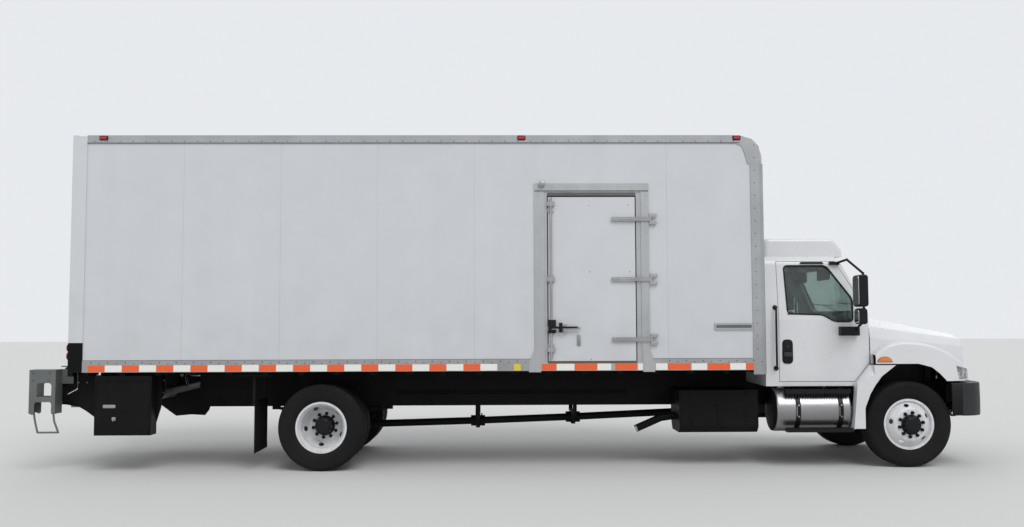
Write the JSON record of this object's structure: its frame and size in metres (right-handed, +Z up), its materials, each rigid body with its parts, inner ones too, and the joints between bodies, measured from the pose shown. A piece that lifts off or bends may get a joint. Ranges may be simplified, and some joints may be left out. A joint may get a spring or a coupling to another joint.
{
  "type": "box truck",
  "caption": "Conventional-cab box truck with a tilting hood, long freight box, hinged side door, roll-up rear door and folding liftgate under the tail",
  "frame": {"origin": "on the ground under the middle of the overall length and width", "axes": "+X forward, +Y to the truck's left, +Z up"},
  "size_m": [11.2668, 3, 3.9169],
  "materials": {
    "black_frame": "satin black frame paint",
    "cast_grey": "matt cast metal",
    "black_gate": "satin black paint",
    "polished_alu": "bright aluminium",
    "step_alu": "satin aluminium extrusion",
    "white_paint": "gloss white paint",
    "white_panel": "smooth white panel",
    "dark_plastic": "matt dark grey plastic",
    "tinted_glass": "tinted glass",
    "lamp_lens": "clear lamp lens",
    "lamp_red": "red lamp lens",
    "bright_steel": "zinc plated steel",
    "flap_rubber": "matt black rubber",
    "tyre_black": "black tyre rubber"
  },
  "bodies": {
    "truck": {"chassis_frame": "black_frame", "engine_block": "cast_grey", "drive_shafts": "black_frame", "rear_axle": "black_frame", "leaf_springs": "black_frame", "front_axle": "black_frame", "fuel_tank": "polished_alu", "tank_steps": "step_alu", "chassis_boxes": "black_frame", "front_bumper": "dark_plastic", "cab_floor": "white_paint", "cab_back": "white_paint", "cab_roof": "white_paint", "cab_front": "white_paint", "windshield": "tinted_glass", "cab_interior": "dark_plastic", "roof_fairing": "white_paint", "fender_extensions": "dark_plastic", "box_floor": "white_panel", "floor_sills": "black_frame", "box_wall_left": "white_panel", "box_wall_right": "white_panel", "box_front_wall": "white_panel", "box_roof": "white_panel", "box_rails": "step_alu", "rear_frame": "white_panel", "roll_up_door": "white_panel", "side_door_frame": "step_alu", "box_lamps": "lamp_red", "mud_flaps": "flap_rubber", "step_brackets": "bright_steel", "liftgate_frame": "black_gate"},
    "hood_body": {"hood": "white_paint", "grille": "dark_plastic", "headlamps": "lamp_lens"},
    "door_right": {"cab_door_right": "white_paint", "door_glass_right": "tinted_glass", "mirror_right": "dark_plastic"},
    "door_left": {"cab_door_left": "white_paint", "door_glass_left": "tinted_glass", "mirror_left": "dark_plastic"},
    "cargo_side_door": {"side_door": "white_panel", "side_door_hardware": "bright_steel"},
    "gate_arms": {"lift_arms": "black_gate"},
    "gate_carrier": {"gate_hinge": "black_gate"},
    "gate_platform": {"platform": "polished_alu"},
    "gate_flip_section": {"platform_tip": "polished_alu"},
    "gate_rod": {"lift_rod": "bright_steel"},
    "steer_knuckle_right": {"knuckle_right": "black_frame"},
    "steer_knuckle_left": {"knuckle_left": "black_frame"},
    "steer_tie_rod": {"tie_rod": "black_frame"},
    "steer_wheel": {"steering_wheel": "dark_plastic"},
    "front_wheel_right": {"front_tyre_right": "tyre_black", "front_rim_right": "white_paint"},
    "front_wheel_left": {"front_tyre_left": "tyre_black", "front_rim_left": "white_paint"},
    "rear_wheels_right": {"rear_tyres_right": "tyre_black", "rear_rims_right": "white_paint"},
    "rear_wheels_left": {"rear_tyres_left": "tyre_black", "rear_rims_left": "white_paint"}
  },
  "joints": [
    {"name": "steer_right", "type": "hinge", "parent": "truck", "child": "steer_knuckle_right", "pos_m": [4.615, -0.88, 0.503], "axis": [0, 0, 1], "range_deg": [-35, 35]},
    {"name": "steer_left", "type": "hinge", "parent": "truck", "child": "steer_knuckle_left", "pos_m": [4.615, 0.88, 0.503], "axis": [0, 0, 1], "range_deg": [-35, 35]},
    {"name": "tie_slide", "type": "slide", "parent": "truck", "child": "steer_tie_rod", "axis": [0, 1, 0], "range_m": [-0.12, 0.12]},
    {"name": "steering_wheel_turn", "type": "hinge", "parent": "truck", "child": "steer_wheel", "pos_m": [3.735, 0.52, 1.64], "axis": [-0.5736, 0, 0.8192], "range_deg": [-600, 600]},
    {"name": "front_wheel_right_spin", "type": "hinge", "parent": "steer_knuckle_right", "child": "front_wheel_right", "pos_m": [4.615, -1, 0.503], "axis": [0, 1, 0], "continuous": true},
    {"name": "front_wheel_left_spin", "type": "hinge", "parent": "steer_knuckle_left", "child": "front_wheel_left", "pos_m": [4.615, 1, 0.503], "axis": [0, 1, 0], "continuous": true},
    {"name": "rear_wheels_right_spin", "type": "hinge", "parent": "truck", "child": "rear_wheels_right", "pos_m": [-2.295, -0.912, 0.503], "axis": [0, 1, 0], "continuous": true},
    {"name": "rear_wheels_left_spin", "type": "hinge", "parent": "truck", "child": "rear_wheels_left", "pos_m": [-2.295, 0.912, 0.503], "axis": [0, 1, 0], "continuous": true},
    {"name": "door_right_hinge", "type": "hinge", "parent": "truck", "child": "door_right", "pos_m": [4.203, -1.054, 1.6], "axis": [0, 0, 1], "range_deg": [0, 70]},
    {"name": "door_left_hinge", "type": "hinge", "parent": "truck", "child": "door_left", "pos_m": [4.203, 1.054, 1.6], "axis": [0, 0, -1], "range_deg": [0, 70]},
    {"name": "hood_tilt", "type": "hinge", "parent": "truck", "child": "hood_body", "pos_m": [5.505, 0, 1.018], "axis": [0, 1, 0], "range_deg": [0, 75]},
    {"name": "side_door_hinge", "type": "hinge", "parent": "truck", "child": "cargo_side_door", "pos_m": [1.553, -1.313, 2.2], "axis": [0, 0, 1], "range_deg": [0, 175]},
    {"name": "gate_lift", "type": "hinge", "parent": "truck", "child": "gate_arms", "pos_m": [-4.285, 0, 0.9], "axis": [0, 1, 0], "range_deg": [-43.3, 21.6]},
    {"name": "gate_level", "type": "hinge", "parent": "gate_arms", "child": "gate_carrier", "pos_m": [-5.375, 0, 0.8], "axis": [0, 1, 0], "range_deg": [-21.7, 43.4]},
    {"name": "platform_unfold", "type": "hinge", "parent": "gate_carrier", "child": "gate_platform", "pos_m": [-5.375, 0, 0.8], "axis": [0, 1, 0], "range_deg": [0, 180]},
    {"name": "platform_flip", "type": "hinge", "parent": "gate_platform", "child": "gate_flip_section", "pos_m": [-4.651, 0, 0.7585], "axis": [0, -1, 0], "range_deg": [0, 180]},
    {"name": "gate_rod_slide", "type": "slide", "parent": "truck", "child": "gate_rod", "axis": [1, 0, 0], "range_m": [-0.125, 0.068]}
  ],
  "couplings": [
    {"joint": "steer_left", "follows": "steer_right", "ratio": 1},
    {"joint": "tie_slide", "follows": "steer_right", "m_per_rad": -0.185},
    {"joint": "steering_wheel_turn", "follows": "steer_right", "ratio": 17},
    {"joint": "gate_level", "follows": "gate_lift", "ratio": -1},
    {"joint": "gate_rod_slide", "follows": "gate_lift", "m_per_rad": 0.148}
  ]
}
